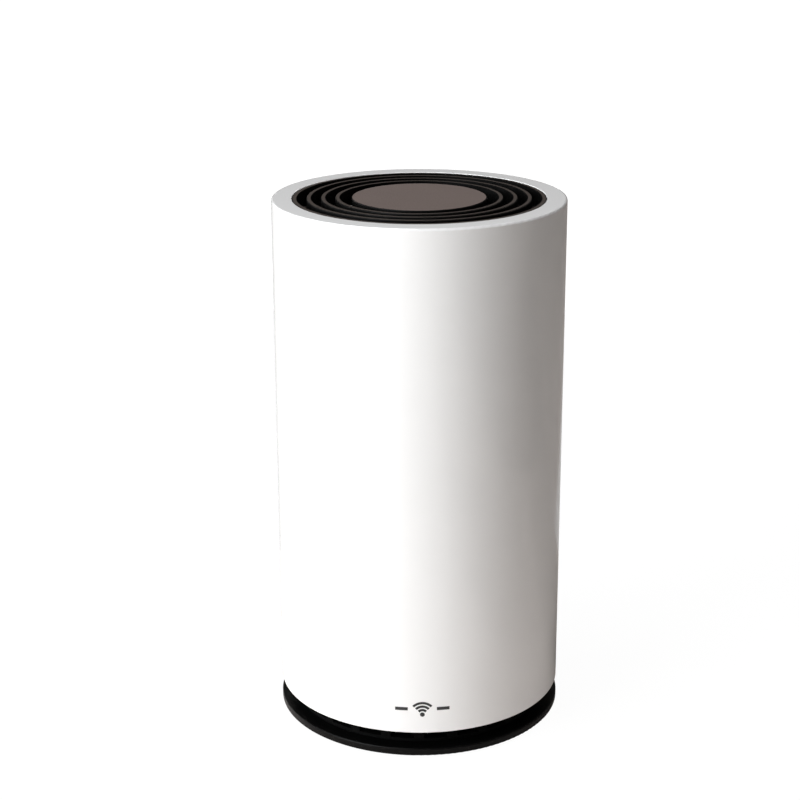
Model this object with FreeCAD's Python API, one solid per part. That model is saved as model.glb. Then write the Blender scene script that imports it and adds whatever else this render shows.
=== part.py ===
import FreeCAD, Part
import math
import os
from FreeCAD import Vector

# Overall form: an upright cylinder on a slightly wider dark plate, front towards -Y
total_height = 203.4
sleeve_radius = 55.0
sleeve_wall = 2.5
sleeve_bottom = 10.1
rim_width = 7.6
rim_thickness = 3.0

# Base: plate, air-intake neck, rubber foot ring and screws up into the frame
foot_proud = 0.6
foot_inset = 3.1
foot_width = 4.5
foot_depth = 1.0
plate_overhang = 0.15
plate_thickness = 2.9
neck_wall = 2.5
intake_slots = 24
intake_width = 9.0
base_screw_radius = 1.45
label_thickness = 0.15
label_radius = 30.0
screw_hole_radius = 3.0

# Top grille: concentric rings around a closed centre cap
ring_count = 4
ring_width = 1.5
ring_depth = 5.5
outer_ring_drop = 0.1
cap_radius = 25.1
cap_thickness = 1.8
rib_count = 12
rib_width = 1.2

# Rear connector window and the panel behind it
window_half = 17.0
window_corner = 5.0
inlet_to_window = 7.5
reset_to_window = 6.0
panel_recess = 7.5
panel_wall = 2.0

# Main board, upright, just off the centre line
board_face = -7.0
board_thickness = 1.6
board_low = 16.5
screw_clear = 0.05
small_head = 2.1
small_head_height = 1.4
small_shank = 1.15

# Network sockets: eight-contact modular jacks lying on their side
jack_height = 13.5
jack_width = 16.0
jack_depth = 21.0
jack_gap = 2.0
jack_names = ["wan_jack", "lan_jack_1", "lan_jack_2", "lan_jack_3"]
jack_mouth = 11.9
contact_pitch = 1.02

# Other connectors and controls, one above the other from the power inlet up
power_inlet_level = 27.0
inlet_half = 4.8
inlet_bore = 3.15
inlet_pin = 1.0
inlet_root = 1.4
inlet_to_button = 13.0
usb_half = 6.55
usb_gap = 3.45
usb_to_pairing = 14.0
pairing_to_reset = 8.0
control_axis = -1.5
power_cap = 3.5
power_stem = 1.5
power_travel = 2.0
pairing_cap = 2.5
pairing_stem = 1.0
pairing_travel = 0.6
reset_pinhole = 0.8
reset_stem = 0.8
reset_travel = 0.4
button_clear = 0.07
flange_thickness = 1.0
power_switch_half = 5.5
switch_gap = 3.5
pairing_switch_half = 3.2
reset_switch_half = 3.0

# Antennas on four upright slabs of the frame, angles from the front
slab_angles = [55.0, 125.0, -125.0, -55.0]
slab_width = 18.0
slab_thickness = 2.4
antenna_height = 34.0
antenna_width = 16.0
antenna_thickness = 0.8
lead_radius = 0.65

# Cooling: fins stand upright in the draught from base to grille
fin_thickness = 1.2
fin_pitch = 8.0
sink_low = 42.0
sink_high = 154.0
sink_base = 2.4
can_height = 3.0
can_wall = 0.3
pad_thickness = 1.5
memory_height = 1.0
rear_pad_thickness = 1.0

# Levels of the rear openings, stacked upwards, and the window that frames them
power_button_level = power_inlet_level + inlet_to_button
first_jack_level = power_button_level + power_switch_half + switch_gap + jack_width / 2
jack_levels = [first_jack_level + (jack_width + jack_gap) * index for index in range(len(jack_names))]
usb_level = jack_levels[-1] + jack_width / 2 + usb_gap + usb_half
pairing_level = usb_level + usb_to_pairing
reset_level = pairing_level + pairing_to_reset
window_low = power_inlet_level - inlet_to_window
window_high = reset_level + reset_to_window

# Sizes that follow from the ones above
plate_bottom = foot_proud
plate_top = plate_bottom + plate_thickness
plate_radius = sleeve_radius + plate_overhang
foot_outer_radius = plate_radius - foot_inset
foot_inner_radius = foot_outer_radius - foot_width
sleeve_inner = sleeve_radius - sleeve_wall
rim_inner = sleeve_radius - rim_width
rim_under = total_height - rim_thickness
frame_radius = sleeve_inner - 0.3
neck_radius = sleeve_radius - 6.0
floor_top = sleeve_bottom + 2.1
frame_low = floor_top
frame_high = rim_under - 3.0
frame_ring_height = 3.0
ring_inner_edge = sleeve_radius - 14.0
base_screw_pitch_radius = neck_radius - neck_wall - 3.3
panel_face = sleeve_radius - panel_recess
panel_back = panel_face - panel_wall
board_back = board_face - board_thickness
board_front_edge = -(sleeve_radius - 10.0)
board_rear_edge = panel_face - 3.5
board_high = total_height - 24.5
jack_back = panel_face - jack_depth
jack_far_side = board_face + jack_height
jack_axis = board_face + jack_height / 2
slab_inner = sleeve_radius - 6.2
antenna_inner = slab_inner - antenna_thickness
fin_reach = sleeve_radius - 14.0
can_top = board_face + can_height
sink_right_face = can_top + pad_thickness
memory_back = board_back - memory_height
sink_left_face = memory_back - rear_pad_thickness
lead_route = sleeve_radius - 11.0
post_face = board_back
post_back = board_back - 4.4
front_post_edge = board_front_edge + 6.5
rear_post_start = panel_back - 7.5
rear_post_end = panel_back - 2.0
crossbar_low = window_high + 3.0
crossbar_high = crossbar_low + 8.0
status_board_top = frame_high - 1.8


def disc(radius, low, high):
    """Upright solid cylinder on the centre line."""
    return Part.makeCylinder(radius, high - low, Vector(0, 0, low))


def ring(inner, outer, low, high):
    """Upright tube on the centre line."""
    return disc(outer, low, high).cut(disc(inner, low, high))


def block(x_low, x_high, y_low, y_high, z_low, z_high):
    """Box given by its limits along the three axes."""
    size = Vector(x_high - x_low, y_high - y_low, z_high - z_low)
    return Part.makeBox(size.x, size.y, size.z, Vector(x_low, y_low, z_low))


def rod(radius, start, direction, length):
    """Solid cylinder from a start point along a direction."""
    return Part.makeCylinder(radius, length, start, direction)


def polar(angle, radius, level):
    """Point at an angle from the front, positive towards +X."""
    turn = math.radians(angle)
    return Vector(radius * math.sin(turn), -radius * math.cos(turn), level)


def turned(shape, angle):
    """Copy of a shape built at the front, turned about the centre line."""
    copy = shape.copy()
    copy.rotate(Vector(0, 0, 0), Vector(0, 0, 1), angle)
    return copy


def joined(shapes):
    """One solid from several touching solids."""
    return shapes[0].multiFuse(shapes[1:]).removeSplitter()


def circles(shape, radius, level):
    """Circular edges of one radius at one height."""
    found = []
    for edge in shape.Edges:
        if not isinstance(edge.Curve, Part.Circle):
            continue
        if abs(edge.Curve.Radius - radius) < 1e-6 and abs(edge.Curve.Center.z - level) < 1e-6:
            found.append(edge)
    return found


def screw(head_radius, head_height, shank_radius, length, seat, direction):
    """Cross-head screw whose head rests on the seat point."""
    head = Part.makeCylinder(head_radius, head_height, Vector(0, 0, -head_height))
    shank = Part.makeCylinder(shank_radius, length)
    body = head.fuse(shank)
    half = head_radius * 0.55
    slot = head_radius * 0.12
    deep = head_height * 0.45
    body = body.cut(block(-half, half, -slot, slot, -head_height, -head_height + deep))
    body = body.cut(block(-slot, slot, -half, half, -head_height, -head_height + deep))
    turn = FreeCAD.Rotation(Vector(0, 0, 1), direction)
    body.Placement = FreeCAD.Placement(seat, turn)
    return body


def small_screw(length, seat, direction):
    """The size of screw that holds the board and the panel."""
    return screw(small_head, small_head_height, small_shank, length, seat, direction)


def window_block(y_low, y_high):
    """Rounded upright slot that the connector window is cut with."""
    slot = block(-window_half, window_half, y_low, y_high, window_low, window_high)
    corners = []
    for edge in slot.Edges:
        if abs(edge.tangentAt(edge.FirstParameter).y) > 0.99:
            corners.append(edge)
    return slot.makeFillet(window_corner, corners)


def snap_lug(inner, outer, low, high, half_angle):
    """Short arc of a ring at the front, for the snap lugs and their pockets."""
    wedge_half = outer * math.sin(math.radians(half_angle))
    arc = ring(inner, outer, low, high)
    return arc.common(block(-wedge_half, wedge_half, -outer - 1, 0, low, high))


def outer_sleeve():
    """White tube with a flat top rim, a rear window and pockets for snap lugs."""
    shell = disc(sleeve_radius, sleeve_bottom, total_height)
    shell = shell.cut(disc(sleeve_inner, sleeve_bottom, rim_under))
    shell = shell.cut(disc(rim_inner, rim_under, total_height))
    shell = shell.makeFillet(0.8, circles(shell, sleeve_radius, total_height))
    shell = shell.makeFillet(0.25, circles(shell, rim_inner, total_height))
    shell = shell.makeFillet(0.5, circles(shell, sleeve_radius, sleeve_bottom))
    shell = shell.cut(window_block(0, sleeve_radius + 5))
    for angle in [0, 90, 270]:
        pocket = snap_lug(sleeve_inner - 1, sleeve_inner + 1.2, frame_high - 2.7, frame_high - 0.8, 5.2)
        shell = shell.cut(turned(pocket, angle))
    return shell


def grille_ring_middles():
    """Mid radius of each grille ring, outermost first."""
    outermost = rim_inner - 0.2 - ring_width / 2
    step = (outermost - cap_radius) / ring_count
    return [outermost - step * index for index in range(ring_count)]


def top_grille():
    """Concentric rings on radial ribs, a seat flange and a cup for the centre cap."""
    low = total_height - ring_depth - 0.5
    pieces = []
    for index, middle in enumerate(grille_ring_middles()):
        top = total_height
        if index == 0:
            top = total_height - outer_ring_drop
        loop = ring(middle - ring_width / 2, middle + ring_width / 2, low, top)
        pieces.append(loop.makeFillet(0.35, circles(loop, middle + ring_width / 2, top)))
    flange = ring(rim_inner - 1.7, frame_radius, frame_high, rim_under)
    cup = disc(cap_radius - 0.5, frame_high, total_height - cap_thickness)
    cup = cup.cut(disc(cap_radius - 1.9, frame_high + 1.5, total_height))
    pieces.append(flange)
    pieces.append(cup)
    for index in range(rib_count):
        rib = block(-rib_width / 2, rib_width / 2, -(rim_inner - 0.6), -(cap_radius - 1.2), low, low + 2)
        pieces.append(turned(rib, 360.0 * index / rib_count))
    for side in (-1, 1):
        pieces.append(rod(2.6, Vector(0, 11 * side, status_board_top), Vector(0, 0, 1), 2.5))
    grille = joined(pieces)
    grille = grille.cut(rod(3.1, Vector(0, 0, frame_high - 1), Vector(0, 0, 1), 4))
    for side in (-1, 1):
        grille = grille.cut(rod(1.0, Vector(0, 11 * side, status_board_top - 1), Vector(0, 0, 1), 4))
    for seat in grille_screw_seats():
        grille = grille.cut(rod(1.2, seat, Vector(0, 0, 1), 5.4))
    return grille


def grille_cap():
    """Closed round cap with a short skirt that presses into the grille cup."""
    low = total_height - cap_thickness
    lid = disc(cap_radius, low, total_height)
    lid = lid.makeFillet(0.4, circles(lid, cap_radius, total_height))
    skirt = ring(cap_radius - 3.4, cap_radius - 2.0, low - 1.5, low)
    return joined([lid, skirt])


def base_screw_seats():
    """Head seats of the screws in the underside of the plate."""
    level = plate_bottom + 1.8
    return [polar(angle, base_screw_pitch_radius, level) for angle in (45, 135, 225, 315)]


def base_plate():
    """Round plate with a groove for the foot, a label recess and sunk screw holes."""
    plate = disc(plate_radius, plate_bottom, plate_top)
    plate = plate.makeFillet(0.5, circles(plate, plate_radius, plate_top))
    plate = plate.makeFillet(0.5, circles(plate, plate_radius, plate_bottom))
    plate = plate.cut(ring(foot_inner_radius, foot_outer_radius, plate_bottom, plate_bottom + foot_depth))
    plate = plate.cut(disc(label_radius, plate_bottom, plate_bottom + label_thickness))
    for seat in base_screw_seats():
        plate = plate.cut(rod(screw_hole_radius, seat, Vector(0, 0, -1), 3))
        plate = plate.cut(rod(base_screw_radius + 0.15, seat, Vector(0, 0, 1), 3))
    return plate


def foot_ring():
    """Rubber ring pressed into the groove and standing proud of the plate."""
    foot = ring(foot_inner_radius, foot_outer_radius, 0, plate_bottom + foot_depth)
    return foot.makeFillet(0.25, circles(foot, foot_outer_radius, 0))


def rating_label():
    """Blank round label let into the underside."""
    return disc(label_radius, plate_bottom, plate_bottom + label_thickness)


def base_pedestal():
    """Recessed neck with air-intake slots, carrying a ring floor inside the sleeve."""
    neck = ring(neck_radius - neck_wall, neck_radius, plate_top, sleeve_bottom)
    floor = ring(34.0, frame_radius, sleeve_bottom, floor_top)
    pieces = [neck, floor]
    for seat in base_screw_seats():
        foot = Vector(seat.x, seat.y, plate_top)
        pieces.append(rod(3.0, foot, Vector(0, 0, 1), floor_top - plate_top))
    pedestal = joined(pieces)
    slot = block(-intake_width / 2, intake_width / 2, -neck_radius - 1, -neck_radius + neck_wall + 0.1,
                 plate_top + 1.2, sleeve_bottom - 1.2)
    for index in range(intake_slots):
        angle = 360.0 * (index + 0.5) / intake_slots
        pedestal = pedestal.cut(turned(slot, angle))
    for seat in base_screw_seats():
        pedestal = pedestal.cut(rod(base_screw_radius + 0.15, seat, Vector(0, 0, 1), 14))
    return pedestal


def base_screws():
    """Four screws from the underside through plate and neck into the frame."""
    length = frame_low + 2.4 - plate_bottom - 1.8
    screws = []
    for seat in base_screw_seats():
        screws.append(screw(2.75, 1.5, base_screw_radius, length, seat, Vector(0, 0, 1)))
    return Part.makeCompound(screws)


def grille_screw_seats():
    """Head seats of the screws under the frame's upper ring."""
    level = frame_high - frame_ring_height
    return [polar(angle, sleeve_inner - 3.4, level) for angle in (25, 155, 205, 335)]


def grille_screws():
    """Four screws from under the upper ring into the grille flange."""
    screws = []
    for seat in grille_screw_seats():
        screws.append(screw(2.2, 1.5, 1.15, 5.2, seat, Vector(0, 0, 1)))
    return Part.makeCompound(screws)


def board_screw_places():
    """Where the main board is screwed to the two posts."""
    front = board_front_edge + 3.0
    rear = rear_post_start + 3.0
    high = board_high - 6.0
    middle = (board_low + board_high) / 2
    front_places = [(front, board_low + 6), (front, middle), (front, high)]
    rear_places = [(rear, board_low + 3.0), (rear, window_high - 0.5)]
    return front_places + rear_places


def board_screws():
    """Screws through the board into the posts."""
    screws = []
    for across, level in board_screw_places():
        seat = Vector(board_face, across, level)
        screws.append(small_screw(board_thickness + 3.2, seat, Vector(-1, 0, 0)))
    return Part.makeCompound(screws)


def panel_screw_seats():
    """Where the panel's upper ear is screwed to the frame's crossbar."""
    level = (crossbar_low + crossbar_high) / 2
    return [Vector(side * 12.0, panel_face, level) for side in (-1, 1)]


def panel_screws():
    """Two screws through the ear of the panel, hidden behind the sleeve."""
    screws = []
    for seat in panel_screw_seats():
        screws.append(small_screw(6.0, seat, Vector(0, -1, 0)))
    return Part.makeCompound(screws)


def inner_frame():
    """Moulded skeleton: two rings, two board posts, four antenna slabs and a crossbar."""
    low_ring = ring(ring_inner_edge, frame_radius, frame_low, frame_low + frame_ring_height)
    high_ring = ring(sleeve_inner - 6.5, frame_radius, frame_high - frame_ring_height, frame_high)
    limit = disc(frame_radius, frame_low, frame_high)
    front_post = block(post_back, post_face, -sleeve_radius, front_post_edge, frame_low, frame_high)
    rear_post = block(post_back, post_face, rear_post_start, rear_post_end, frame_low, frame_high)
    pieces = [low_ring, high_ring, front_post.common(limit), rear_post]
    reach = sleeve_inner - 3.0
    for low in (frame_low, frame_high - frame_ring_height):
        foot = block(post_back, post_face, rear_post_start, reach, low, low + frame_ring_height)
        pieces.append(foot.common(limit))
    pieces.append(block(-16.0, 16.0, rear_post_start, panel_back, crossbar_low, crossbar_high))
    slab = block(-slab_width / 2, slab_width / 2, -slab_inner - slab_thickness, -slab_inner,
                 frame_low, frame_high)
    for angle in slab_angles:
        pieces.append(turned(slab, angle))
    for angle in [0, 90, 270]:
        lug = snap_lug(sleeve_inner - 4, sleeve_inner + 0.9, frame_high - 2.5, frame_high - 1.0, 4.6)
        pieces.append(turned(lug, angle))
    frame = joined(pieces)
    for seat in base_screw_seats():
        frame = frame.cut(rod(base_screw_radius + screw_clear, seat, Vector(0, 0, 1),
                              frame_low + 2.5 - seat.z))
    for seat in grille_screw_seats():
        frame = frame.cut(rod(1.25, seat, Vector(0, 0, 1), 4))
    for across, level in board_screw_places():
        start = Vector(post_face, across, level)
        frame = frame.cut(rod(small_shank + screw_clear, start, Vector(-1, 0, 0), 3.4))
    for seat in panel_screw_seats():
        frame = frame.cut(rod(small_shank + screw_clear, seat, Vector(0, -1, 0), 6.3))
    return frame


def jack_opening(level):
    """Square hole in the panel around one network socket."""
    return block(board_face - 0.2, jack_far_side + 0.2, panel_back - 1, panel_face + 1,
                 level - jack_width / 2 - 0.2, level + jack_width / 2 + 0.2)


def light_levels():
    """Heights of the activity lights, two beside every network socket."""
    levels = []
    for level in jack_levels:
        levels.append(level - 4.5)
        levels.append(level + 4.5)
    return levels


def io_panel():
    """Recessed tray behind the rear window, pierced for every socket and button."""
    top = crossbar_high
    tray = block(-window_half - 2, window_half + 2, panel_back, sleeve_radius,
                 window_low - 2, window_high + 2)
    tray = tray.common(disc(sleeve_inner - 0.1, window_low - 2, window_high + 2))
    tray = tray.cut(window_block(panel_face, sleeve_radius + 5))
    ear = block(-16.0, 16.0, panel_back, panel_face, window_high, top)
    tab = block(-12.0, 12.0, panel_back, panel_face, frame_low + frame_ring_height, window_low)
    panel = joined([tray, ear, tab])
    for level in jack_levels:
        panel = panel.cut(jack_opening(level))
    for level in light_levels():
        start = Vector(jack_far_side + 2.2, panel_back - 1, level)
        panel = panel.cut(rod(0.95, start, Vector(0, 1, 0), 4))
    panel = panel.cut(block(control_axis - 3.05, control_axis + 3.05, panel_back - 1, panel_face + 1,
                            usb_level - usb_half - 0.2, usb_level + usb_half + 0.2))
    holes = [
        (power_inlet_level, inlet_bore + 1.0), (power_button_level, power_cap + button_clear),
        (pairing_level, pairing_cap + button_clear), (reset_level, reset_pinhole),
    ]
    for level, radius in holes:
        start = Vector(control_axis, panel_back - 1, level)
        panel = panel.cut(rod(radius, start, Vector(0, 1, 0), 4))
    for seat in panel_screw_seats():
        panel = panel.cut(rod(1.4, seat, Vector(0, -1, 0), 3))
    return panel


def network_jack(level):
    """Modular jack: block with a stepped mouth for the plug and its latch."""
    body = block(board_face, jack_far_side, jack_back, panel_face, level - jack_width / 2,
                 level + jack_width / 2)
    inner = panel_face - 14.0
    half = jack_mouth / 2
    body = body.cut(block(jack_axis - 2.75, jack_axis + 4.05, inner, panel_face + 1, level - half,
                          level + half))
    body = body.cut(block(jack_axis - 4.55, jack_axis - 2.7, inner, panel_face + 1, level - 3.1,
                          level + 3.1))
    body = body.cut(block(jack_axis - 5.75, jack_axis - 4.5, inner, panel_face + 1, level - 1.7,
                          level + 1.7))
    return body


def jack_contacts():
    """Gilded spring fingers sloping into every network socket."""
    wall = jack_axis + 4.05
    fingers = []
    for level in jack_levels:
        for index in range(8):
            middle = level + (index - 3.5) * contact_pitch
            corners = [
                Vector(wall, panel_face - 1.6, middle - 0.22), Vector(wall, panel_face - 2.0, middle - 0.22),
                Vector(wall - 2.0, panel_face - 10.0, middle - 0.22),
                Vector(wall - 2.0, panel_face - 9.2, middle - 0.22),
                Vector(wall, panel_face - 1.6, middle - 0.22),
            ]
            face = Part.Face(Part.makePolygon(corners))
            fingers.append(face.extrude(Vector(0, 0, 0.44)))
    return Part.makeCompound(fingers)


def port_light_pipe():
    """Clear comb: a bar beside the sockets with a short rod to every light hole."""
    far = jack_far_side + 3.1
    bar = block(jack_far_side, far, panel_back - 5, panel_back - 2, jack_levels[0] - 6.5,
                jack_levels[-1] + 6.5)
    pieces = [bar]
    for level in light_levels():
        start = Vector(jack_far_side + 2.2, panel_back - 2.5, level)
        pieces.append(rod(0.9, start, Vector(0, 1, 0), panel_face - panel_back + 2.5))
    return joined(pieces)


def usb_socket():
    """Folded metal shell of the data socket."""
    shell = block(control_axis - 2.85, control_axis + 2.85, panel_face - 14, panel_face,
                  usb_level - usb_half, usb_level + usb_half)
    return shell.cut(block(control_axis - 2.5, control_axis + 2.5, panel_face - 15, panel_face + 1,
                           usb_level - usb_half + 0.35, usb_level + usb_half - 0.35))


def usb_insulator():
    """Plastic core: a tongue in the shell, a plug behind it and a riser to the board."""
    back = panel_face - 16.0
    tongue = block(control_axis - 0.6, control_axis + 1.2, back, panel_face - 2.0, usb_level - 5.5,
                   usb_level + 5.5)
    plug_half = usb_half - 0.4
    plug = block(control_axis - 2.45, control_axis + 2.45, back, panel_face - 12.0,
                 usb_level - plug_half, usb_level + plug_half)
    riser = block(board_face, control_axis - 2.85, back, panel_face - 4.0, usb_level - 6.0, usb_level + 6.0)
    bridge = block(board_face, control_axis + 2.45, back, panel_face - 14.0, usb_level - 6.0,
                   usb_level + 6.0)
    return joined([tongue, plug, riser, bridge])


def power_inlet():
    """Round barrel socket on a square block."""
    back = panel_face - 14.5
    axis_point = Vector(control_axis, panel_face, power_inlet_level)
    body = block(board_face, control_axis + inlet_half, back, panel_back - 0.2,
                 power_inlet_level - inlet_half, power_inlet_level + inlet_half)
    nose = rod(4.0, axis_point, Vector(0, -1, 0), 4)
    socket = joined([body, nose])
    socket = socket.cut(rod(inlet_bore, axis_point, Vector(0, -1, 0), 10))
    return socket.cut(rod(inlet_root + screw_clear, axis_point, Vector(0, -1, 0), 12))


def power_inlet_pin():
    """Centre pin of the barrel socket, with a thicker root seated in the block."""
    start = Vector(control_axis, panel_face - 12.0, power_inlet_level)
    root = rod(inlet_root, start, Vector(0, 1, 0), 2.0)
    pin = rod(inlet_pin, start, Vector(0, 1, 0), 10.8)
    tip = [edge for edge in pin.Edges if abs(edge.BoundBox.YMin - panel_face + 1.2) < 1e-6]
    return joined([pin.makeFillet(0.4, tip), root])


def push_button(level, button_radius, proud, flange_radius, stem_radius, travel):
    """Button cap through the panel, a flange that stops it and a stem into its switch."""
    flange_front = panel_back - 0.1
    flange_back = flange_front - flange_thickness
    seat = Vector(control_axis, flange_back, level)
    pieces = [rod(flange_radius, seat, Vector(0, 1, 0), flange_thickness)]
    if proud > 0:
        cap = rod(button_radius, seat, Vector(0, 1, 0), panel_face + proud - flange_back)
        front = [edge for edge in cap.Edges if abs(edge.BoundBox.YMin - panel_face - proud) < 1e-6]
        pieces.append(cap.makeFillet(0.3, front))
    stem = rod(stem_radius, Vector(control_axis, flange_back + 0.5, level), Vector(0, -1, 0), 5.5 + travel)
    pieces.append(stem)
    return joined(pieces)


def push_switch(level, stem_radius, travel, half_width):
    """Board-mounted switch body with a bore for the button's stem."""
    front = panel_back - 0.1 - flange_thickness - travel - 0.1
    back = front - 10.0
    body = block(board_face, control_axis + half_width, back, front, level - half_width, level + half_width)
    return body.cut(rod(stem_radius + button_clear, Vector(control_axis, front + 1, level),
                        Vector(0, -1, 0), 8.0 + travel))


def power_button():
    return push_button(power_button_level, power_cap, 1.7, power_cap + 0.9, power_stem, power_travel)


def power_switch():
    return push_switch(power_button_level, power_stem, power_travel, power_switch_half)


def pairing_button():
    return push_button(pairing_level, pairing_cap, 0.6, pairing_cap + 0.7, pairing_stem, pairing_travel)


def pairing_switch():
    return push_switch(pairing_level, pairing_stem, pairing_travel, pairing_switch_half)


def reset_button():
    return push_button(reset_level, 2.0, 0.0, 2.0, reset_stem, reset_travel)


def reset_switch():
    return push_switch(reset_level, reset_stem, reset_travel, reset_switch_half)


def main_board():
    """Upright circuit board, notched clear of the crossbar."""
    board = block(board_back, board_face, board_front_edge, board_rear_edge, board_low, board_high)
    board = board.cut(block(board_back - 1, board_face + 1, rear_post_start - 1.0, board_rear_edge + 1,
                            crossbar_low - 0.4, board_high + 1))
    for across, level in board_screw_places():
        board = board.cut(rod(1.3, Vector(board_face + 1, across, level), Vector(-1, 0, 0), 4))
    for across, level in sink_screw_places():
        board = board.cut(rod(1.5, Vector(board_face + 1, across, level), Vector(-1, 0, 0), 4))
    return board


def shield_can(y_low, y_high, z_low, z_high):
    """Thin tin box soldered over a group of chips, open towards the board."""
    can = block(board_face, board_face + can_height, y_low, y_high, z_low, z_high)
    return can.cut(block(board_face, board_face + can_height - can_wall, y_low + can_wall,
                         y_high - can_wall, z_low + can_wall, z_high - can_wall))


def shield_levels():
    """Lower and upper limit of the processor and the two radio shields."""
    middle = (sink_low + sink_high) / 2
    return [(sink_low + 8, sink_low + 32), (middle - 14, middle + 14), (sink_high - 34, sink_high - 8)]


def processor_shield():
    low, high = shield_levels()[0]
    return shield_can(-30.0, -2.0, low, high)


def low_band_radio_shield():
    low, high = shield_levels()[1]
    return shield_can(-32.0, -4.0, low, high)


def high_band_radio_shield():
    low, high = shield_levels()[2]
    return shield_can(-32.0, -4.0, low, high)


def shielded_chips():
    """Processor and radio chips under the shields."""
    chips = []
    for low, high in shield_levels():
        middle = (low + high) / 2
        chips.append(block(board_face, board_face + 1.2, -24.0, -10.0, middle - 7, middle + 7))
    return Part.makeCompound(chips)


def thermal_pads():
    """Soft pads between the shields and one heatsink, and between board and the other."""
    pads = []
    for low, high in shield_levels():
        pads.append(block(can_top, sink_right_face, -28.0, -6.0, low + 3, high - 3))
        pads.append(block(sink_left_face, memory_back, -26.0, -8.0, low + 6, high - 6))
    return Part.makeCompound(pads)


def memory_chips():
    """Chips on the back of the board behind each shield."""
    chips = []
    for low, high in shield_levels():
        chips.append(block(memory_back, board_back, -26.0, -8.0, low + 6, high - 6))
    return Part.makeCompound(chips)


def sink_screw_places():
    """Where screws clamp the two heatsinks through the board."""
    return [(-29.5, sink_low + 4), (-29.5, sink_high - 4), (3.2, sink_low + 4), (3.2, sink_high - 4)]


def fin_row(base, outward, y_low, y_high):
    """Upright fins from a base plane out to the round limit of the casing."""
    fins = []
    count = int((y_high - y_low) / fin_pitch) + 1
    start = (y_low + y_high) / 2 - fin_pitch * (count - 1) / 2
    for index in range(count):
        middle = start + fin_pitch * index
        reach = math.sqrt(fin_reach ** 2 - (abs(middle) + fin_thickness) ** 2)
        ends = sorted((base, outward * reach))
        fins.append(block(ends[0], ends[1], middle - fin_thickness / 2, middle + fin_thickness / 2,
                          sink_low, sink_high))
    return fins


def heatsink_right():
    """Finned aluminium sink on the chip side of the board."""
    near = sink_right_face
    rear = jack_back - 4.0
    base = block(near, near + sink_base, -36.0, rear, sink_low, sink_high)
    sink = joined([base] + fin_row(near + 2.0, 1, -35.4, rear - 0.6))
    for across, level in sink_screw_places():
        sink = sink.cut(rod(1.3, Vector(near - 1, across, level), Vector(1, 0, 0), 3.2))
    return sink


def heatsink_left():
    """Finned aluminium sink on the back of the board."""
    near = sink_left_face
    base = block(near - sink_base, near, -33.0, 34.0, sink_low, sink_high)
    sink = joined([base] + fin_row(near - 2.0, -1, -29.4, 34.0))
    for across, level in sink_screw_places():
        sink = sink.cut(rod(1.3, Vector(near + 1, across, level), Vector(-1, 0, 0), 6))
    return sink


def heatsink_screws():
    """Long screws from the left sink through the board into the right sink."""
    seat_face = sink_left_face - sink_base
    length = sink_right_face + 1.8 - seat_face
    screws = []
    for across, level in sink_screw_places():
        seat = Vector(seat_face, across, level)
        screws.append(screw(2.2, 1.4, 1.2, length, seat, Vector(1, 0, 0)))
    return Part.makeCompound(screws)


def network_transformers():
    """Isolating transformers, one for each network socket."""
    modules = []
    for level in jack_levels:
        modules.append(block(board_face, board_face + 3.4, 6.5, 18.5, level - 7, level + 7))
    return Part.makeCompound(modules)


def capacitors():
    """Smoothing capacitors standing by the power inlet."""
    cans = []
    for across in (4.0, 13.0, 22.0):
        cans.append(rod(3.2, Vector(board_face, across, board_low + 9), Vector(1, 0, 0), 8.5))
    return Part.makeCompound(cans)


def antenna_places():
    """Slab angle, lower end and feed height of every antenna."""
    high = frame_high - 12.0 - antenna_height
    low = frame_low + 22.0
    places = []
    for index, angle in enumerate(slab_angles):
        shift = 6.0 * (index % 2) if angle > 0 else 6.0 * ((index + 1) % 2)
        places.append((angle, high, min(high + 4.0 + shift, board_high - 4.0)))
    places.append((slab_angles[0], low, low + 4.0))
    places.append((slab_angles[3], low, low + 4.0))
    return places


def antenna(angle, low):
    """Slotted metal plate lying on the inner face of one slab."""
    half = antenna_width / 2
    plate = block(-half, half, -slab_inner, -antenna_inner, low, low + antenna_height)
    slot_top = low + antenna_height
    plate = plate.cut(block(-0.8, 0.8, -slab_inner - 1, -antenna_inner + 1, low + 12, slot_top - 6))
    plate = plate.cut(block(-half + 4, 0.8, -slab_inner - 1, -antenna_inner + 1, low + 12, low + 13.5))
    return turned(plate, angle)


def feed_end(angle):
    """Where a lead meets its connector on the board, on the side of its antenna."""
    if angle > 0:
        return Vector(board_face + 2.2, board_front_edge + 8.0, 0)
    return Vector(board_back - 2.2, front_post_edge + 2.6, 0)


def bent_path(points):
    """Straight runs joined by tangent arcs, each as large as its two runs allow."""
    edges = []
    start = points[0]
    for before, corner, after in zip(points, points[1:], points[2:]):
        incoming = (corner - before).normalize()
        outgoing = (after - corner).normalize()
        reach = 0.45 * min((corner - before).Length, (after - corner).Length)
        first = corner - incoming * reach
        last = corner + outgoing * reach
        half_turn = incoming.getAngle(outgoing) / 2
        sagitta = reach * (1 - math.cos(half_turn)) / math.tan(half_turn)
        middle = (first + last) * 0.5 + (corner - (first + last) * 0.5).normalize() * sagitta
        edges.append(Part.LineSegment(start, first).toShape())
        edges.append(Part.Arc(first, middle, last).toShape())
        start = last
    edges.append(Part.LineSegment(start, points[-1]).toShape())
    return Part.Wire(edges)


def antenna_lead(angle, level):
    """Thin coaxial lead following the casing round to its plug on the board."""
    side = 1 if angle > 0 else -1
    end = feed_end(angle)
    last = math.degrees(math.acos(-end.y / lead_route))
    steps = int((abs(angle) - last) / 18) + 1
    points = [polar(angle, antenna_inner, level), polar(angle, lead_route, level)]
    for index in range(1, steps + 1):
        here = abs(angle) - (abs(angle) - last) * index / steps
        points.append(polar(side * here, lead_route, level))
    points.append(Vector(end.x, end.y, level))
    section = Part.Wire([Part.makeCircle(lead_radius, points[0], points[0] - points[1])])
    return bent_path(points).makePipeShell([section], True, False)


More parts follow.
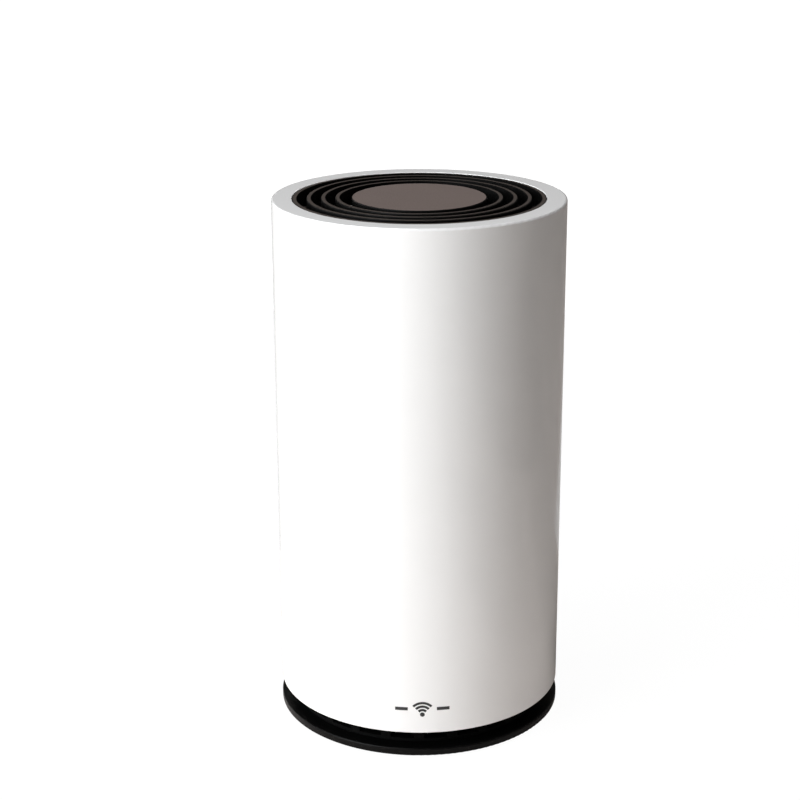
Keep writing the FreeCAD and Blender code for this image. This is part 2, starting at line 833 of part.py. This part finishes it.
def antenna_connectors():
    """Small round coaxial plugs on the board, one for each lead."""
    plugs = []
    for angle, low, level in antenna_places():
        end = feed_end(angle)
        face = board_face if angle > 0 else board_back
        outward = 1 if angle > 0 else -1
        plugs.append(rod(1.5, Vector(face, end.y, level), Vector(outward, 0, 0), abs(end.x - face)))
    return Part.makeCompound(plugs)


def status_board():
    """Small round board with its light chip, screwed under the grille cup."""
    plate = disc(15.0, status_board_top - 1.2, status_board_top)
    lamp = block(-1.6, 1.6, -1.6, 1.6, status_board_top, status_board_top + 0.8)
    socket = block(-9.0, -5.4, -5.0, 5.0, status_board_top - 3.0, status_board_top - 1.2)
    board = joined([plate, lamp, socket])
    for side in (-1, 1):
        board = board.cut(rod(1.1, Vector(0, 11 * side, status_board_top - 2), Vector(0, 0, 1), 3))
    return board


def status_light_guide():
    """Clear rod that carries the status light up to the underside of the cap."""
    return disc(3.0, status_board_top + 0.8, total_height - cap_thickness)


def status_board_screws():
    """Two screws from below into the bosses of the grille cup."""
    screws = []
    for side in (-1, 1):
        seat = Vector(0, 11 * side, status_board_top - 1.2)
        screws.append(screw(1.9, 1.2, 0.95, 3.6, seat, Vector(0, 0, 1)))
    return Part.makeCompound(screws)


def status_ribbon_connector():
    """Ribbon socket at the top of the main board."""
    body = block(board_face, board_face + 2.0, -5.5, 5.5, board_high - 8, board_high - 3)
    return body


def status_ribbon():
    """Flat flexible lead between the status board and the main board."""
    middle = board_face + 1.0
    return block(middle - 0.15, middle + 0.15, -4.0, 4.0, board_high - 3, status_board_top - 3.0)


def save(name, shape):
    shape.exportStep("parts/" + name + ".step")


os.makedirs("parts", exist_ok=True)

save("outer_sleeve", outer_sleeve())
save("top_grille", top_grille())
save("grille_cap", grille_cap())
save("base_plate", base_plate())
save("foot_ring", foot_ring())
save("rating_label", rating_label())
save("base_pedestal", base_pedestal())
save("base_screws", base_screws())
save("inner_frame", inner_frame())
save("grille_screws", grille_screws())
save("board_screws", board_screws())
save("panel_screws", panel_screws())
save("io_panel", io_panel())
for name, level in zip(jack_names, jack_levels):
    save(name, network_jack(level))
save("jack_contacts", jack_contacts())
save("port_light_pipe", port_light_pipe())
save("usb_socket", usb_socket())
save("usb_insulator", usb_insulator())
save("power_inlet", power_inlet())
save("power_inlet_pin", power_inlet_pin())
save("power_button", power_button())
save("power_switch", power_switch())
save("pairing_button", pairing_button())
save("pairing_switch", pairing_switch())
save("reset_button", reset_button())
save("reset_switch", reset_switch())
save("main_board", main_board())
save("processor_shield", processor_shield())
save("low_band_radio_shield", low_band_radio_shield())
save("high_band_radio_shield", high_band_radio_shield())
save("shielded_chips", shielded_chips())
save("thermal_pads", thermal_pads())
save("memory_chips", memory_chips())
save("heatsink_right", heatsink_right())
save("heatsink_left", heatsink_left())
save("heatsink_screws", heatsink_screws())
save("network_transformers", network_transformers())
save("capacitors", capacitors())
for number, place in enumerate(antenna_places(), 1):
    save("antenna_" + str(number), antenna(place[0], place[1]))
    save("antenna_lead_" + str(number), antenna_lead(place[0], place[2]))
save("antenna_connectors", antenna_connectors())
save("status_board", status_board())
save("status_light_guide", status_light_guide())
save("status_board_screws", status_board_screws())
save("status_ribbon_connector", status_ribbon_connector())
save("status_ribbon", status_ribbon())
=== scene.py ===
import bpy
import math
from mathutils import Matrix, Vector


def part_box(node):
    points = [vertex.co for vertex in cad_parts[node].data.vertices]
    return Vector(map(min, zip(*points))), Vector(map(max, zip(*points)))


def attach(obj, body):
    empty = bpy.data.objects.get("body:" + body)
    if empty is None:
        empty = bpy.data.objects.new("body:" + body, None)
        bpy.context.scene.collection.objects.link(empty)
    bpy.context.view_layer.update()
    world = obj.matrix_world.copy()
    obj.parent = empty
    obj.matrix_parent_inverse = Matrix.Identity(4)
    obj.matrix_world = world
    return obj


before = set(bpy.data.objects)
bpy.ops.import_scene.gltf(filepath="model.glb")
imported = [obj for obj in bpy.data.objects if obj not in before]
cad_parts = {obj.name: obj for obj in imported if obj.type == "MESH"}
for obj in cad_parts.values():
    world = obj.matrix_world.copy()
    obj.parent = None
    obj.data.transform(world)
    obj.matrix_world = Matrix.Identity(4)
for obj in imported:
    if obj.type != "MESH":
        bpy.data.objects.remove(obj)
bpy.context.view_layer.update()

# The camera stands in front of the unit, a little above it, looking down at the
# ring grille and the front of the sleeve through a long lens.
camera_data = bpy.data.cameras.new("front_camera")
camera_data.sensor_width = 36.0
camera_data.lens = 81.87
camera = bpy.data.objects.new("front_camera", camera_data)
bpy.context.collection.objects.link(camera)
camera.location = (0.0, -0.6664, 0.3406)
camera.rotation_euler = (1.25637, 0.00306, 0.01011)
bpy.context.scene.camera = camera

# The unit stands on a white card table. What the camera sees of it is one even
# pale disc, which runs into a larger white floor.
mm = 0.001
table_radius = 0.6
table_drop = 0.2 * mm
table_glow = 0.97
table_albedo = (0.06, 0.06, 0.06)
floor_radius = 9.0
floor_drop = 0.6 * mm
floor_glow = 1.1
floor_albedo = (0.0, 0.0, 0.0)


def glowing_white(name, glow, albedo):
    """Matt paint that also gives off white light of its own."""
    material = bpy.data.materials.new(name)
    material.use_nodes = True
    shader = material.node_tree.nodes["Principled BSDF"]
    shader.inputs["Base Color"].default_value = (*albedo, 1)
    shader.inputs["Specular IOR Level"].default_value = 0.0
    shader.inputs["Roughness"].default_value = 0.9
    shader.inputs["Emission Color"].default_value = (1, 1, 1, 1)
    shader.inputs["Emission Strength"].default_value = glow
    return material


def round_table(name, radius, height):
    corners = 96
    points = []
    for index in range(corners):
        turn = 2 * math.pi * index / corners
        points.append((radius * math.cos(turn), radius * math.sin(turn), height))
    mesh = bpy.data.meshes.new(name)
    mesh.from_pydata(points, [], [list(range(corners))])
    table = bpy.data.objects.new(name, mesh)
    bpy.context.collection.objects.link(table)
    return table


def place_on_stage(thing, seen, lights_unit):
    """Studio surface: either seen by the camera, or throwing light on the unit."""
    thing.visible_camera = seen
    thing.visible_diffuse = lights_unit
    thing.visible_glossy = lights_unit
    thing.visible_transmission = lights_unit
    thing.visible_shadow = False


seen_table = round_table("seen_table", table_radius, -table_drop)
seen_table.data.materials.append(glowing_white("table_white", table_glow, table_albedo))
place_on_stage(seen_table, seen=True, lights_unit=False)
far_floor = round_table("far_floor", floor_radius, -floor_drop)
sweep_white = glowing_white("sweep_white", floor_glow, floor_albedo)
far_floor.data.materials.append(sweep_white)
place_on_stage(far_floor, seen=True, lights_unit=False)

# The card throws light up at the glossy sleeve. It is laid as patches, bright at the front and left,
# dim at the right and behind where the unit's shadow lies.
# The dim patches carry a painted shadow in their darker colours, on top of the real shadow they
# catch.
card_left = -1.2
card_right = 0.8
card_front = -1.2
card_back = 1.6
side_edge = 0.12
shade_left = 0.0
shade_right = 0.33
shade_front = 0.02
shade_back = 0.14
far_shade_left = 0.17
# The right, near-shade and far-shade colours are darkened as painted shadow of the unit on the card.
bright_card = (0.87, 0.80, 0.755)
right_shadow_card = (0.60, 0.55, 0.515)
left_card = (0.66, 0.65, 0.64)
near_shade_card = (0.42, 0.385, 0.36)
far_shade_card = (0.46, 0.42, 0.395)


def card_patch(name, left, right, front, back, albedo):
    """Part of the table top that throws light back but isn't seen itself."""
    mesh = bpy.data.meshes.new(name)
    corners = [(left, front, 0), (right, front, 0), (right, back, 0), (left, back, 0)]
    mesh.from_pydata(corners, [], [(0, 1, 2, 3)])
    mesh.materials.append(glowing_white(name + "_paint", 0.0, albedo))
    patch = bpy.data.objects.new(name, mesh)
    bpy.context.collection.objects.link(patch)
    place_on_stage(patch, seen=False, lights_unit=True)


card_patch("front_sheet", card_left, side_edge, card_front, shade_front, bright_card)
card_patch("right_sheet", side_edge, shade_right, card_front, shade_front, right_shadow_card)
card_patch("side_sheet", card_left, shade_left, shade_front, shade_back, bright_card)
card_patch("near_shade", shade_left, shade_right, shade_front, shade_back, near_shade_card)
card_patch("left_sheet", card_left, far_shade_left, shade_back, card_back, left_card)
card_patch("shaded_sheet", far_shade_left, card_right, shade_back, card_back, far_shade_card)

# A white sweep closes the studio on four sides and overhead. It is only seen, so
# that the softboxes and the card alone shape the light on the sleeve.
sweep_half = 9.0
sweep_bottom = -0.01
sweep_top = 6.0
sweep_points = []
for height in (sweep_bottom, sweep_top):
    for x, y in ((-1, -1), (1, -1), (1, 1), (-1, 1)):
        sweep_points.append((x * sweep_half, y * sweep_half, height))
sweep_walls = [(0, 1, 5, 4), (1, 2, 6, 5), (2, 3, 7, 6), (3, 0, 4, 7)]
sweep_ceiling = [(4, 5, 6, 7)]
sweep_mesh = bpy.data.meshes.new("sweep")
sweep_mesh.from_pydata(sweep_points, [], sweep_walls + sweep_ceiling)
sweep = bpy.data.objects.new("sweep", sweep_mesh)
bpy.context.collection.objects.link(sweep)
sweep_mesh.materials.append(sweep_white)
place_on_stage(sweep, seen=True, lights_unit=False)

# One large softbox at the front left lights the unit, helped by one overhead and
# one behind on the left. A faint one at the right and warm room air fill the rest.
air_tint = (1.0, 0.945, 0.905)
air_strength = 0.145
world = bpy.data.worlds.new("studio_air")
world.use_nodes = True
world.node_tree.nodes["Background"].inputs["Color"].default_value = (*air_tint, 1)
world.node_tree.nodes["Background"].inputs["Strength"].default_value = air_strength
bpy.context.scene.world = world
bpy.context.scene.view_settings.view_transform = "Standard"
middle_of_unit = Vector((0.0, 0.0, 0.11))


def softbox(name, place, width, height, power, tint):
    """Rectangular lamp that faces the middle of the unit and isn't seen itself."""
    light = bpy.data.lights.new(name, "AREA")
    light.shape = "RECTANGLE"
    light.size = width
    light.size_y = height
    light.energy = power
    light.color = tint
    lamp = bpy.data.objects.new(name, light)
    lamp.location = place
    lamp.rotation_euler = (middle_of_unit - Vector(place)).to_track_quat("-Z", "Y").to_euler()
    bpy.context.collection.objects.link(lamp)
    lamp.visible_camera = False


softbox("key_softbox", place=(-1.213, -0.865, 0.75), width=1.1, height=1.3, power=32.6,
        tint=(0.94, 0.98, 1.0))
softbox("top_softbox", place=(-0.3, -0.1, 1.6), width=0.8, height=0.8, power=12.0,
        tint=(0.985, 0.985, 1.0))
softbox("left_rear_softbox", place=(-1.4, 0.75, 0.4), width=0.6, height=1.0, power=7.0,
        tint=(1.0, 1.0, 1.0))
softbox("right_fill", place=(1.1, 0.25, 1.0), width=0.8, height=0.8, power=0.4,
        tint=(1.0, 0.98, 0.96))

# The foot ring is pressed into a groove under the base plate. It is soft black
# rubber with a fine moulded grain and no shine.
noise_low = 0.3
noise_high = 0.7


def grained(name, colour, roughness, grain, relief, tone=0.08, metallic=0.0, coat=0.0,
            shine=0.5, octaves=3, unevenness=0.15):
    """Moulded surface: fine grain as bump and gloss, slow drift in colour.

    grain is the size of one grain and relief its depth, both in metres. tone and
    unevenness are how far colour and roughness stray from their middle values.
    """
    drift_per_metre = 45
    drift_octaves = 4
    material = bpy.data.materials.new(name)
    material.use_nodes = True
    tree = material.node_tree
    shader = tree.nodes["Principled BSDF"]
    shader.inputs["Metallic"].default_value = metallic
    shader.inputs["Coat Weight"].default_value = coat
    shader.inputs["Specular IOR Level"].default_value = shine
    shader.inputs["Coat Roughness"].default_value = 0.05
    place = tree.nodes.new("ShaderNodeTexCoord")
    fine = tree.nodes.new("ShaderNodeTexNoise")
    fine.inputs["Scale"].default_value = 1 / grain
    fine.inputs["Detail"].default_value = octaves
    drift = tree.nodes.new("ShaderNodeTexNoise")
    drift.inputs["Scale"].default_value = drift_per_metre
    drift.inputs["Detail"].default_value = drift_octaves
    for noise in (fine, drift):
        tree.links.new(place.outputs["Object"], noise.inputs["Vector"])
    shade = tree.nodes.new("ShaderNodeValToRGB")
    darker, paler = shade.color_ramp.elements
    darker.position = noise_low
    paler.position = noise_high
    darker.color = [part * (1 - tone) for part in colour] + [1]
    paler.color = [min(1, part * (1 + tone)) for part in colour] + [1]
    tree.links.new(drift.outputs["Fac"], shade.inputs["Fac"])
    tree.links.new(shade.outputs["Color"], shader.inputs["Base Color"])
    gloss = tree.nodes.new("ShaderNodeMapRange")
    gloss.inputs["From Min"].default_value = noise_low
    gloss.inputs["From Max"].default_value = noise_high
    gloss.inputs["To Min"].default_value = roughness * (1 - unevenness)
    gloss.inputs["To Max"].default_value = min(1, roughness * (1 + unevenness))
    tree.links.new(fine.outputs["Fac"], gloss.inputs["Value"])
    tree.links.new(gloss.outputs["Result"], shader.inputs["Roughness"])
    bump = tree.nodes.new("ShaderNodeBump")
    bump.inputs["Strength"].default_value = 1.0
    bump.inputs["Distance"].default_value = relief
    tree.links.new(fine.outputs["Fac"], bump.inputs["Height"])
    tree.links.new(bump.outputs["Normal"], shader.inputs["Normal"])
    return material


def finish_node(name, material):
    """Gives one machined or moulded piece its finish."""
    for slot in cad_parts[name].material_slots:
        slot.material = material


foot_rubber = grained("foot_rubber", colour=(0.035, 0.034, 0.033), roughness=0.75,
                      grain=0.5 * mm, relief=0.03 * mm)
finish_node("foot_ring", foot_rubber)

# The base plate is injection moulded in black with a satin face. A blank round
# film label lies in a shallow recess between its four sunk zinc screws.
# Its black is real black plastic made darker still as painted shade for the shadowed recess under the
# sleeve.
base_black_and_shade = grained("base_black_and_shade", colour=(0.0015, 0.0015, 0.0015), roughness=0.4,
                     grain=0.35 * mm, relief=0.006 * mm, shine=0.12)
label_film = grained("label_film", colour=(0.30, 0.30, 0.30), roughness=0.5,
                     grain=0.8 * mm, relief=0.004 * mm)
zinc = grained("zinc_plate", colour=(0.55, 0.56, 0.58), roughness=0.34,
               grain=0.6 * mm, relief=0.004 * mm, metallic=1.0)
finish_node("base_plate", base_black_and_shade)
finish_node("rating_label", label_film)
finish_node("base_screws", zinc)

# The recessed neck is the same black plastic, left matt, with a row of slots
# that let cool air in all round under the sleeve.
# Its colour is real black plastic made darker still as painted shade for the shadowed recess, which
# hides the slots.
neck_black_and_shade = grained("neck_black_and_shade", colour=(0.0015, 0.0015, 0.0015), roughness=0.7,
                     grain=0.5 * mm, relief=0.01 * mm, shine=0.1)
finish_node("base_pedestal", neck_black_and_shade)

# The inner frame is a skeleton of glass-filled plastic: two rings, two posts for
# the board and four slabs for the antennas. Zinc screws hold the rest to it.
frame_black = grained("frame_black", colour=(0.006, 0.006, 0.006), roughness=0.65,
                      grain=0.6 * mm, relief=0.02 * mm, shine=0.2)
finish_node("inner_frame", frame_black)
for place in ("grille", "board", "panel", "heatsink", "status_board"):
    finish_node(place + "_screws", zinc)


# The main board is green solder resist over copper tracks on glass-epoxy, and
# the tracks show as lines of a lighter green. The small status board is the same.
def solder_resist(name, colour, track_colour, track_pitch):
    """Green lacquer with paler lines where copper runs under it."""
    track_edge = 0.42
    track_middle = 0.5
    material = grained(name, colour, roughness=0.35, grain=0.9 * mm, relief=0.006 * mm)
    tree = material.node_tree
    shader = tree.nodes["Principled BSDF"]
    place = tree.nodes.new("ShaderNodeTexCoord")
    cells = tree.nodes.new("ShaderNodeTexVoronoi")
    cells.distance = "MANHATTAN"
    cells.inputs["Scale"].default_value = 1 / track_pitch
    tree.links.new(place.outputs["Object"], cells.inputs["Vector"])
    track = tree.nodes.new("ShaderNodeMapRange")
    track.inputs["From Min"].default_value = track_edge
    track.inputs["From Max"].default_value = track_middle
    tree.links.new(cells.outputs["Distance"], track.inputs["Value"])
    blend = tree.nodes.new("ShaderNodeMix")
    blend.data_type = "RGBA"
    blend.inputs["A"].default_value = (*colour, 1)
    blend.inputs["B"].default_value = (*track_colour, 1)
    tree.links.new(track.outputs["Result"], blend.inputs["Factor"])
    tree.links.new(blend.outputs["Result"], shader.inputs["Base Color"])
    return material


green_resist = solder_resist("green_resist", colour=(0.012, 0.075, 0.035),
                             track_colour=(0.03, 0.15, 0.07), track_pitch=2.2 * mm)
finish_node("main_board", green_resist)
finish_node("status_board", green_resist)

# Tin-plated cans are soldered over the radios and the processor. The chips and
# the port transformers are black epoxy, and the capacitors wear a dark sleeve.
tin = grained("tin_plate", colour=(0.66, 0.66, 0.64), roughness=0.3,
              grain=1.2 * mm, relief=0.01 * mm, metallic=1.0)
for covered in ("processor", "low_band_radio", "high_band_radio"):
    finish_node(covered + "_shield", tin)
chip_epoxy = grained("chip_epoxy", colour=(0.03, 0.03, 0.034), roughness=0.55,
                     grain=0.3 * mm, relief=0.01 * mm)
for chips in ("shielded_chips", "memory_chips", "network_transformers"):
    finish_node(chips, chip_epoxy)
can_sleeve = grained("can_sleeve", colour=(0.05, 0.05, 0.07), roughness=0.4,
                     grain=0.7 * mm, relief=0.006 * mm)
finish_node("capacitors", can_sleeve)

# Two extruded aluminium sinks, anodised black, draw heat off the chips through
# soft grey-blue pads and stand in the draught from base to grille.
black_anodised = grained("black_anodised", colour=(0.025, 0.025, 0.028), roughness=0.42,
                         grain=0.4 * mm, relief=0.008 * mm, metallic=0.6)
pad_silicone = grained("pad_silicone", colour=(0.35, 0.42, 0.52), roughness=0.8,
                       grain=0.6 * mm, relief=0.03 * mm)
finish_node("heatsink_right", black_anodised)
finish_node("heatsink_left", black_anodised)
finish_node("thermal_pads", pad_silicone)

# Six stamped brass antennas lie on the slabs, each fed by a thin black coaxial
# lead that snaps to the board with a gilded plug.
antenna_count = 6
antenna_brass = grained("antenna_brass", colour=(0.72, 0.60, 0.36), roughness=0.3,
                        grain=0.8 * mm, relief=0.008 * mm, metallic=1.0)
lead_jacket = grained("lead_jacket", colour=(0.03, 0.03, 0.032), roughness=0.5,
                      grain=0.4 * mm, relief=0.008 * mm)
for number in range(1, antenna_count + 1):
    finish_node("antenna_" + str(number), antenna_brass)
    finish_node("antenna_lead_" + str(number), lead_jacket)
contact_gilt = grained("contact_gilt", colour=(0.90, 0.66, 0.26), roughness=0.22,
                       grain=0.5 * mm, relief=0.002 * mm, metallic=1.0)
finish_node("antenna_connectors", contact_gilt)


# The status light sits on its own small board under the cap. A clear acrylic rod
# lifts the light, and a flat amber ribbon in a nylon socket joins the two boards.
def clear_plastic(name, tint):
    """Polished moulding that light passes through."""
    material = grained(name, tint, roughness=0.12, grain=1.0 * mm, relief=0.002 * mm)
    shader = material.node_tree.nodes["Principled BSDF"]
    shader.inputs["Transmission Weight"].default_value = 0.85
    shader.inputs["IOR"].default_value = 1.49
    return material


clear_acrylic = clear_plastic("clear_acrylic", tint=(0.86, 0.92, 0.90))
ribbon_film = grained("ribbon_film", colour=(0.45, 0.20, 0.04), roughness=0.3,
                      grain=1.0 * mm, relief=0.004 * mm)
ivory_nylon = grained("ivory_nylon", colour=(0.70, 0.68, 0.62), roughness=0.5,
                      grain=0.4 * mm, relief=0.008 * mm)
finish_node("status_light_guide", clear_acrylic)
finish_node("status_ribbon", ribbon_film)
finish_node("status_ribbon_connector", ivory_nylon)

# The rear panel is a recessed tray with a fine spark-eroded texture. Three black
# network sockets and a blue one for the line in look out through it.
panel_texture = grained("panel_texture", colour=(0.030, 0.030, 0.032), roughness=0.55,
                        grain=0.45 * mm, relief=0.03 * mm)
socket_black = grained("socket_black", colour=(0.018, 0.018, 0.019), roughness=0.45,
                       grain=0.4 * mm, relief=0.008 * mm)
socket_blue = grained("socket_blue", colour=(0.02, 0.10, 0.32), roughness=0.42,
                      grain=0.4 * mm, relief=0.008 * mm)
lan_numbers = (1, 2, 3)
finish_node("io_panel", panel_texture)
for number in lan_numbers:
    finish_node("lan_jack_" + str(number), socket_black)
finish_node("wan_jack", socket_blue)
finish_node("jack_contacts", contact_gilt)
finish_node("port_light_pipe", clear_acrylic)

# The data socket is a folded nickel-plated shell round an ivory tongue, and the
# power inlet is a black block with a turned nickel-plated pin in its bore.
nickel = grained("nickel_plate", colour=(0.68, 0.67, 0.64), roughness=0.24,
                 grain=1.0 * mm, relief=0.004 * mm, metallic=1.0)
finish_node("usb_socket", nickel)
finish_node("usb_insulator", ivory_nylon)
finish_node("power_inlet", socket_black)
finish_node("power_inlet_pin", nickel)

# The two round buttons are grey mouldings, each on its own black switch. The
# reset button is a black pin that stays behind its pinhole.
button_grey = grained("button_grey", colour=(0.28, 0.28, 0.285), roughness=0.4,
                      grain=0.4 * mm, relief=0.008 * mm)
finish_node("power_button", button_grey)
finish_node("pairing_button", button_grey)
for hidden in ("reset_button", "power_switch", "pairing_switch", "reset_switch"):
    finish_node(hidden, socket_black)

# A sign is pad-printed in pale ink beside each network socket. The line in has a
# globe: a ring with its equator and one meridian. No sign has any lettering.
ink_gap = 0.01 * mm
ink_depth = 0.04 * mm
bold_line = 0.32 * mm
round_line = 0.30 * mm
fine_line = 0.28 * mm
thin_line = 0.26 * mm
panel_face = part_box("wan_jack")[1][1]
sign_column = -13.0 * mm
pale_ink = grained("pale_ink", colour=(0.55, 0.55, 0.54), roughness=0.5,
                   grain=0.3 * mm, relief=0.002 * mm)


def stroke(points, width, closed=False):
    """One flat quad for each stretch between points, with a little overlap at the bends."""
    overlap = 0.12
    quads = []
    total = len(points)
    stretches = total if closed else total - 1
    for index in range(stretches):
        start = Vector(points[index])
        end = Vector(points[(index + 1) % total])
        along = (end - start).normalized()
        side = Vector((-along.y, along.x)) * width / 2
        over = along * width * overlap
        quads.append([start - side - over, end - side + over, end + side + over, start + side - over])
    return quads


def arc_points(radius, first, last, steps, height=0):
    """Points on an arc round the middle of a sign, from first to last in degrees."""
    points = []
    for index in range(steps + 1):
        turn = math.radians(first + (last - first) * index / steps)
        points.append((radius * math.cos(turn), height + radius * math.sin(turn)))
    return points


def printed_sign(name, quads, wrap, ink, body):
    """Thin raised ink: each quad becomes a closed slab that wrap() lays on a surface."""
    points = []
    faces = []
    for quad in quads:
        first = len(points)
        points += [wrap(corner, ink_gap) for corner in quad]
        points += [wrap(corner, ink_gap + ink_depth) for corner in quad]
        faces.append([first + 3, first + 2, first + 1, first])
        faces.append([first + 4, first + 5, first + 6, first + 7])
        for step in range(4):
            after = (step + 1) % 4
            faces.append([first + step, first + after, first + 4 + after, first + 4 + step])
    mesh = bpy.data.meshes.new(name)
    mesh.from_pydata(points, [], faces)
    mesh.materials.append(ink)
    sign = bpy.data.objects.new(name, mesh)
    bpy.context.collection.objects.link(sign)
    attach(sign, body)


def on_back(face, column, level):
    """Lays a sign on a face that looks backwards, upright when seen from behind."""
    def wrap(corner, lift):
        return (column - corner[0], face + lift, level + corner[1])
    return wrap


def middle_level(name):
    low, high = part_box(name)
    return (low[2] + high[2]) / 2


globe_radius = 2.0 * mm
meridian_squeeze = 0.45
globe_ring = arc_points(globe_radius, 0, 360, 36)
globe_meridian = [(x * meridian_squeeze, y) for x, y in globe_ring]
globe = stroke(globe_ring, bold_line)
globe += stroke([(-globe_radius, 0), (globe_radius, 0)], fine_line)
globe += stroke(globe_meridian, fine_line)
beside_wan = on_back(panel_face, sign_column, middle_level("wan_jack"))
printed_sign("wan_pictogram", globe, beside_wan, pale_ink, "housing")

# Each black network socket has the same sign beside it: one small box joined by a
# branching line to two more below.
box_half_width = 0.7 * mm
box_half_height = 0.6 * mm
branch_reach = 1.6 * mm
upper_box = 1.5 * mm
lower_box = -1.4 * mm


def network_sign():
    """Three small boxes on a branching line, as flat quads."""
    quads = []
    for x, y in ((0, upper_box), (-branch_reach, lower_box), (branch_reach, lower_box)):
        left = x - box_half_width
        right = x + box_half_width
        low = y - box_half_height
        high = y + box_half_height
        box = [(left, low), (right, low), (right, high), (left, high)]
        quads += stroke(box, fine_line, closed=True)
    quads += stroke([(0, upper_box - box_half_height), (0, 0)], thin_line)
    quads += stroke([(-branch_reach, 0), (branch_reach, 0)], thin_line)
    for x in (-branch_reach, branch_reach):
        quads += stroke([(x, 0), (x, lower_box + box_half_height)], thin_line)
    return quads


for number in lan_numbers:
    beside_lan = on_back(panel_face, sign_column, middle_level("lan_jack_" + str(number)))
    printed_sign("lan_pictogram_" + str(number), network_sign(), beside_lan, pale_ink,
                 "housing")

# The power inlet's sign is the usual one for a plug with a live centre: a dot in
# an open ring, with a line to each.
cup_radius = 1.5 * mm
dot_radius = 0.35 * mm
dot_line = 0.5 * mm
wire_reach = 3.0 * mm
polarity = stroke(arc_points(cup_radius, 50, 310, 26), round_line)
polarity += stroke(arc_points(dot_radius, 0, 360, 12), dot_line)
polarity += stroke([(0, 0), (wire_reach, 0)], thin_line)
polarity += stroke([(-wire_reach, 0), (-cup_radius, 0)], thin_line)
beside_inlet = on_back(panel_face, sign_column, middle_level("power_inlet"))
printed_sign("inlet_pictogram", polarity, beside_inlet, pale_ink, "housing")

# The power button's face carries a ring broken at the top by a short upright
# stroke. The sign travels with the button.
power_ring_radius = 1.5 * mm
power_line = power_ring_radius * 0.22
power_stroke_foot = power_ring_radius * 0.25
power_stroke_top = power_ring_radius * 1.25
button_column = (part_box("power_button")[0][0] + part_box("power_button")[1][0]) / 2
power_ring = stroke(arc_points(power_ring_radius, 125, 415, 30), power_line)
power_upright = stroke([(0, power_stroke_foot), (0, power_stroke_top)], power_line)
power_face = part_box("power_button")[1][1]
on_power_button = on_back(power_face, button_column, middle_level("power_button"))
printed_sign("power_sign", power_ring + power_upright, on_power_button, pale_ink,
             "power_button")

# The pairing button's face carries two arcs that face each other, printed in the
# same ink. They travel with the button.
pairing_radius = 1.2 * mm
pairing_arcs = stroke(arc_points(pairing_radius, 20, 160, 16), round_line)
pairing_arcs += stroke(arc_points(pairing_radius, 200, 340, 16), round_line)
pairing_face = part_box("pairing_button")[1][1]
on_pairing_button = on_back(pairing_face, button_column, middle_level("pairing_button"))
printed_sign("pairing_sign", pairing_arcs, on_pairing_button, pale_ink,
             "pairing_button")

# The sleeve is one deep moulding in glossy white under a clear coat, polished to a
# faint ripple. It slides down over the frame, whose snap lugs catch in its wall.
white_gloss = grained("white_gloss", colour=(0.86, 0.86, 0.86), roughness=0.30,
                      grain=6.0 * mm, relief=0.001 * mm, tone=0.006, coat=1.0,
                      shine=0.1, octaves=0, unevenness=0.01)
finish_node("outer_sleeve", white_gloss)


# The grille is one dark taupe moulding, its rings standing on radial ribs well
# below the rim. The cap in its middle is the same plastic with a satin face.
def faced(name, top_colour, side_shade_colour):
    """Taupe on the faces that look up, with painted shade on the sides: near-black for the deep shade
    in the slots.
    """
    sloping = 0.85
    nearly_level = 0.98
    material = grained(name, top_colour, roughness=0.5, grain=0.5 * mm, relief=0.006 * mm,
                       tone=0.03, shine=0.1)
    tree = material.node_tree
    shader = tree.nodes["Principled BSDF"]
    top_shade = shader.inputs["Base Color"].links[0].from_socket
    facing = tree.nodes.new("ShaderNodeNewGeometry")
    parts = tree.nodes.new("ShaderNodeSeparateXYZ")
    tree.links.new(facing.outputs["True Normal"], parts.inputs["Vector"])
    upward = tree.nodes.new("ShaderNodeMapRange")
    upward.inputs["From Min"].default_value = sloping
    upward.inputs["From Max"].default_value = nearly_level
    tree.links.new(parts.outputs["Z"], upward.inputs["Value"])
    # Upward faces keep the taupe, and the rest is blended to the painted shade colour.
    blend = tree.nodes.new("ShaderNodeMix")
    blend.data_type = "RGBA"
    blend.inputs["A"].default_value = (*side_shade_colour, 1)
    tree.links.new(top_shade, blend.inputs["B"])
    tree.links.new(upward.outputs["Result"], blend.inputs["Factor"])
    tree.links.new(blend.outputs["Result"], shader.inputs["Base Color"])
    return material


# The near-black side colours are painted shade, not the plastic's own colour.
ring_taupe = faced("ring_taupe", top_colour=(0.050, 0.041, 0.036),
                   side_shade_colour=(0.0015, 0.0015, 0.0015))
cap_satin = faced("cap_satin", top_colour=(0.135, 0.107, 0.097),
                  side_shade_colour=(0.002, 0.002, 0.002))
finish_node("top_grille", ring_taupe)
finish_node("grille_cap", cap_satin)

# A plain wireless sign between two short dashes is printed low on the front of
# the sleeve in near-black ink, and follows the curve of the wall.
sign_level = 20.2 * mm
sign_shift = 1.2 * mm
fan_foot = -2.3 * mm
fan_dot_radius = 0.45 * mm
fan_dot_line = 0.9 * mm
fan_radii = (1.85 * mm, 3.3 * mm, 4.75 * mm)
fan_line = 0.95 * mm
dash_start = 5.6 * mm
dash_step = 0.75 * mm
dash_points = 7
dash_line = 1.3 * mm
front_ink = grained("front_ink", colour=(0.02, 0.02, 0.022), roughness=0.4,
                    grain=0.3 * mm, relief=0.002 * mm)


def on_sleeve(level):
    """Wraps a sign round the front of the sleeve."""
    low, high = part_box("outer_sleeve")
    radius = (high[0] - low[0]) / 2

    def wrap(corner, lift):
        turn = (corner[0] + sign_shift) / radius
        reach = radius + lift
        return (reach * math.sin(turn), -reach * math.cos(turn), level + corner[1])
    return wrap


wireless = stroke(arc_points(fan_dot_radius, 0, 360, 14, height=fan_foot), fan_dot_line)
for radius in fan_radii:
    wireless += stroke(arc_points(radius, 45, 135, 16, height=fan_foot), fan_line)
for side in (-1, 1):
    dash = [(side * (dash_start + step * dash_step), 0.0) for step in range(dash_points)]
    wireless += stroke(dash, dash_line)
printed_sign("front_sign", wireless, on_sleeve(sign_level), front_ink, "housing")
